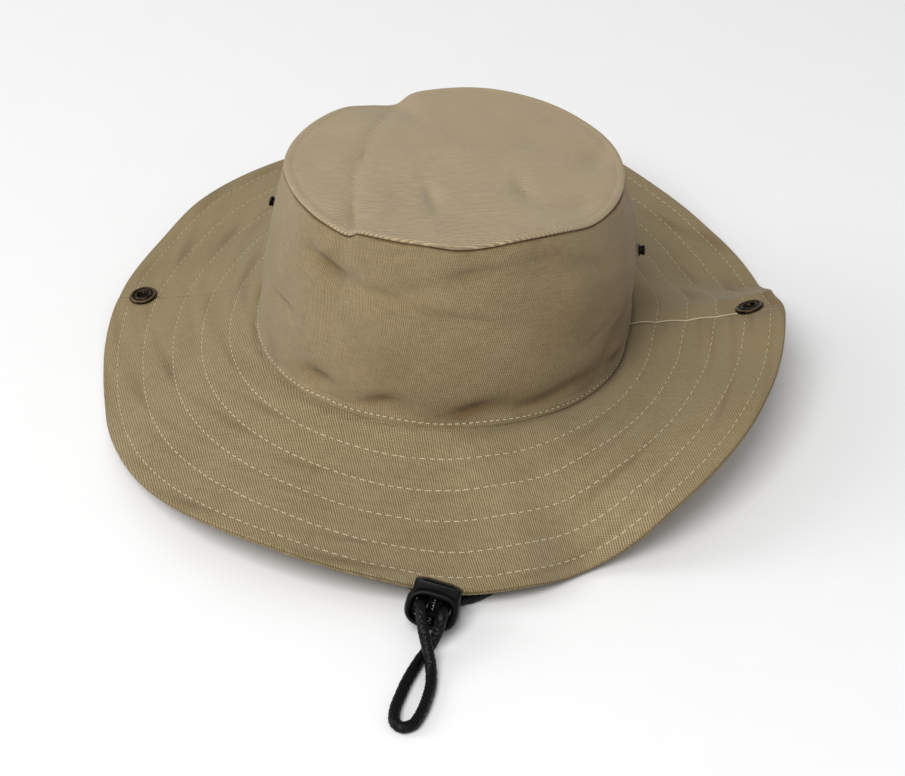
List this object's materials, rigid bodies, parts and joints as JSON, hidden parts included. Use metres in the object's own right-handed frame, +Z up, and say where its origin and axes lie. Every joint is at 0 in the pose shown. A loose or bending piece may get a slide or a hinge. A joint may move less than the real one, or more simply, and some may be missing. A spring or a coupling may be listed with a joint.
{
  "type": "outback hat",
  "caption": "Soft drill outback hat with a gathered crown, a wide quilted brim that snaps up at the sides and a black chin cord with a spring cord lock.",
  "frame": {"origin": "middle of the hat's box in plan, on the floor it rests on; the chin cord and its lock aren't counted in that box", "axes": "+Z up out of the crown, +Y from the front of the brim to its back, +X to the right side snap as seen from the front"},
  "size_m": [0.3044, 0.4214, 0.1196],
  "materials": {
    "drill": "khaki cotton twill, matt",
    "under_drill": "khaki cotton twill, matt",
    "antique_brass": "darkened, satin",
    "cord_braid": "black braid",
    "lock_plastic": "black, satin",
    "spring_steel": "bright wire"
  },
  "bodies": {
    "hat": {"crown_top": "drill", "crown_side_front": "drill", "crown_side_back": "drill", "brim_upper_front": "drill", "brim_upper_back": "drill", "brim_under_front": "under_drill", "brim_under_back": "under_drill", "snap_socket_left": "antique_brass", "snap_cap_left": "antique_brass", "snap_stud_left": "antique_brass", "stud_cap_left": "antique_brass", "snap_socket_right": "antique_brass", "snap_cap_right": "antique_brass", "snap_stud_right": "antique_brass", "stud_cap_right": "antique_brass", "chin_cord": "cord_braid", "lock_body": "lock_plastic", "lock_spring": "spring_steel"},
    "button": {"lock_button": "lock_plastic"}
  },
  "joints": [
    {"name": "lock_press", "type": "slide", "parent": "hat", "child": "button", "axis": [-0.1497, -0.5661, -0.8106], "range_m": [0, 0.0027], "stiffness_N_per_m": 400, "springref_m": -0.004}
  ]
}
